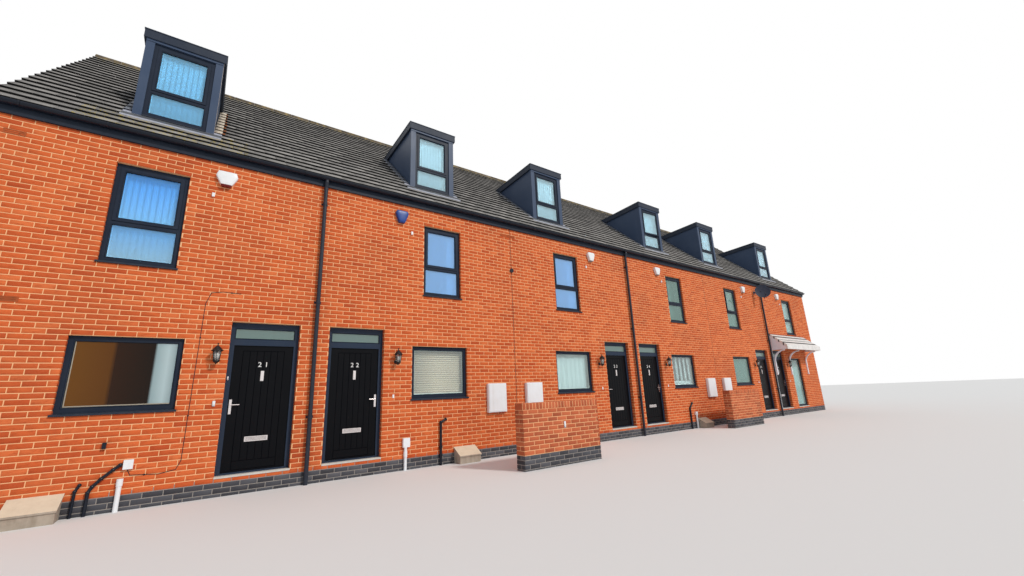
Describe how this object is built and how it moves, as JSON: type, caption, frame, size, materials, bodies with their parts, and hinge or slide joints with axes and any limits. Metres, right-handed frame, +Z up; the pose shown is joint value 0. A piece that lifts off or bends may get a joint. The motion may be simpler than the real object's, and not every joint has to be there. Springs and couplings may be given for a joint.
{
  "type": "terraced house row",
  "caption": "Row of mirrored brick terraced houses with opening front doors, dormers, a lean-to canopy and low screen walls.",
  "frame": {"origin": "on the ground under the ridge, in the party wall of the first mirrored pair", "axes": "+X along the row, +Y from the street front to the rear, +Z up"},
  "size_m": [26.212, 10.261, 9.3162],
  "materials": {
    "red_brick": "fired clay brick, peach mortar",
    "blue_brick": "dense blue brick",
    "blockwork": "plain block",
    "floor_board": "boarded floors",
    "roof_tile": "flat concrete tile",
    "ridge_tile": "weathered ridge tile",
    "dark_trim": "anthracite plastic",
    "black_plastic": "black plastic",
    "dormer_cladding": "anthracite sheet",
    "lead": "dull grey sheet lead",
    "window_plastic": "anthracite plastic",
    "window_glass": "clear glass",
    "threshold_stone": "pale sill",
    "door_black": "black composite",
    "hinge_steel": "brushed steel",
    "door_chrome": "bright metal",
    "canopy_grey": "pale moulded sheet",
    "white_plastic": "white plastic",
    "beige_plastic": "beige plastic",
    "black_metal": "black paint",
    "dish_grey": "dark grey paint"
  },
  "bodies": {
    "house_row": {"front_wall_lower": "red_brick", "front_wall_upper": "red_brick", "rear_wall": "red_brick", "end_walls": "red_brick", "screen_walls": "red_brick", "vents": "red_brick", "plinth": "blue_brick", "party_walls": "blockwork", "floors": "floor_board", "roof_front": "roof_tile", "roof_rear": "roof_tile", "ridge": "ridge_tile", "fascias": "dark_trim", "window_sills": "dark_trim", "gutters": "black_plastic", "downpipes": "black_plastic", "service_pipes": "black_plastic", "dormer_shells": "dormer_cladding", "dormer_roofs": "dormer_cladding", "dormer_flashings": "lead", "window_frames": "window_plastic", "casements": "window_plastic", "door_frames": "window_plastic", "window_glass": "window_glass", "thresholds": "threshold_stone", "hinges": "hinge_steel", "canopy_roof": "canopy_grey", "canopy_frame": "white_plastic", "meter_boxes": "white_plastic", "junction_boxes": "white_plastic", "alarm_boxes": "white_plastic", "gas_boxes": "beige_plastic", "lanterns": "black_metal", "dish": "dish_grey"},
    "entry_door_1": {"door_1": "door_black", "fittings_1": "door_chrome"},
    "entry_door_2": {"door_2": "door_black", "fittings_2": "door_chrome"},
    "entry_door_3": {"door_3": "door_black", "fittings_3": "door_chrome"},
    "entry_door_4": {"door_4": "door_black", "fittings_4": "door_chrome"},
    "entry_door_5": {"door_5": "door_black", "fittings_5": "door_chrome"},
    "entry_door_6": {"door_6": "door_black", "fittings_6": "door_chrome"}
  },
  "joints": [
    {"name": "entry_door_1_hinge", "type": "hinge", "parent": "house_row", "child": "entry_door_1", "pos_m": [-0.298, -3.927, 1.27], "axis": [0, 0, -1], "range_deg": [0, 90]},
    {"name": "entry_door_2_hinge", "type": "hinge", "parent": "house_row", "child": "entry_door_2", "pos_m": [0.298, -3.927, 1.27], "axis": [0, 0, 1], "range_deg": [0, 90]},
    {"name": "entry_door_3_hinge", "type": "hinge", "parent": "house_row", "child": "entry_door_3", "pos_m": [8.371, -3.927, 1.27], "axis": [0, 0, -1], "range_deg": [0, 90]},
    {"name": "entry_door_4_hinge", "type": "hinge", "parent": "house_row", "child": "entry_door_4", "pos_m": [8.967, -3.927, 1.27], "axis": [0, 0, 1], "range_deg": [0, 90]},
    {"name": "entry_door_5_hinge", "type": "hinge", "parent": "house_row", "child": "entry_door_5", "pos_m": [17.04, -3.927, 1.27], "axis": [0, 0, -1], "range_deg": [0, 90]},
    {"name": "entry_door_6_hinge", "type": "hinge", "parent": "house_row", "child": "entry_door_6", "pos_m": [17.636, -3.927, 1.27], "axis": [0, 0, 1], "range_deg": [0, 90]}
  ]
}
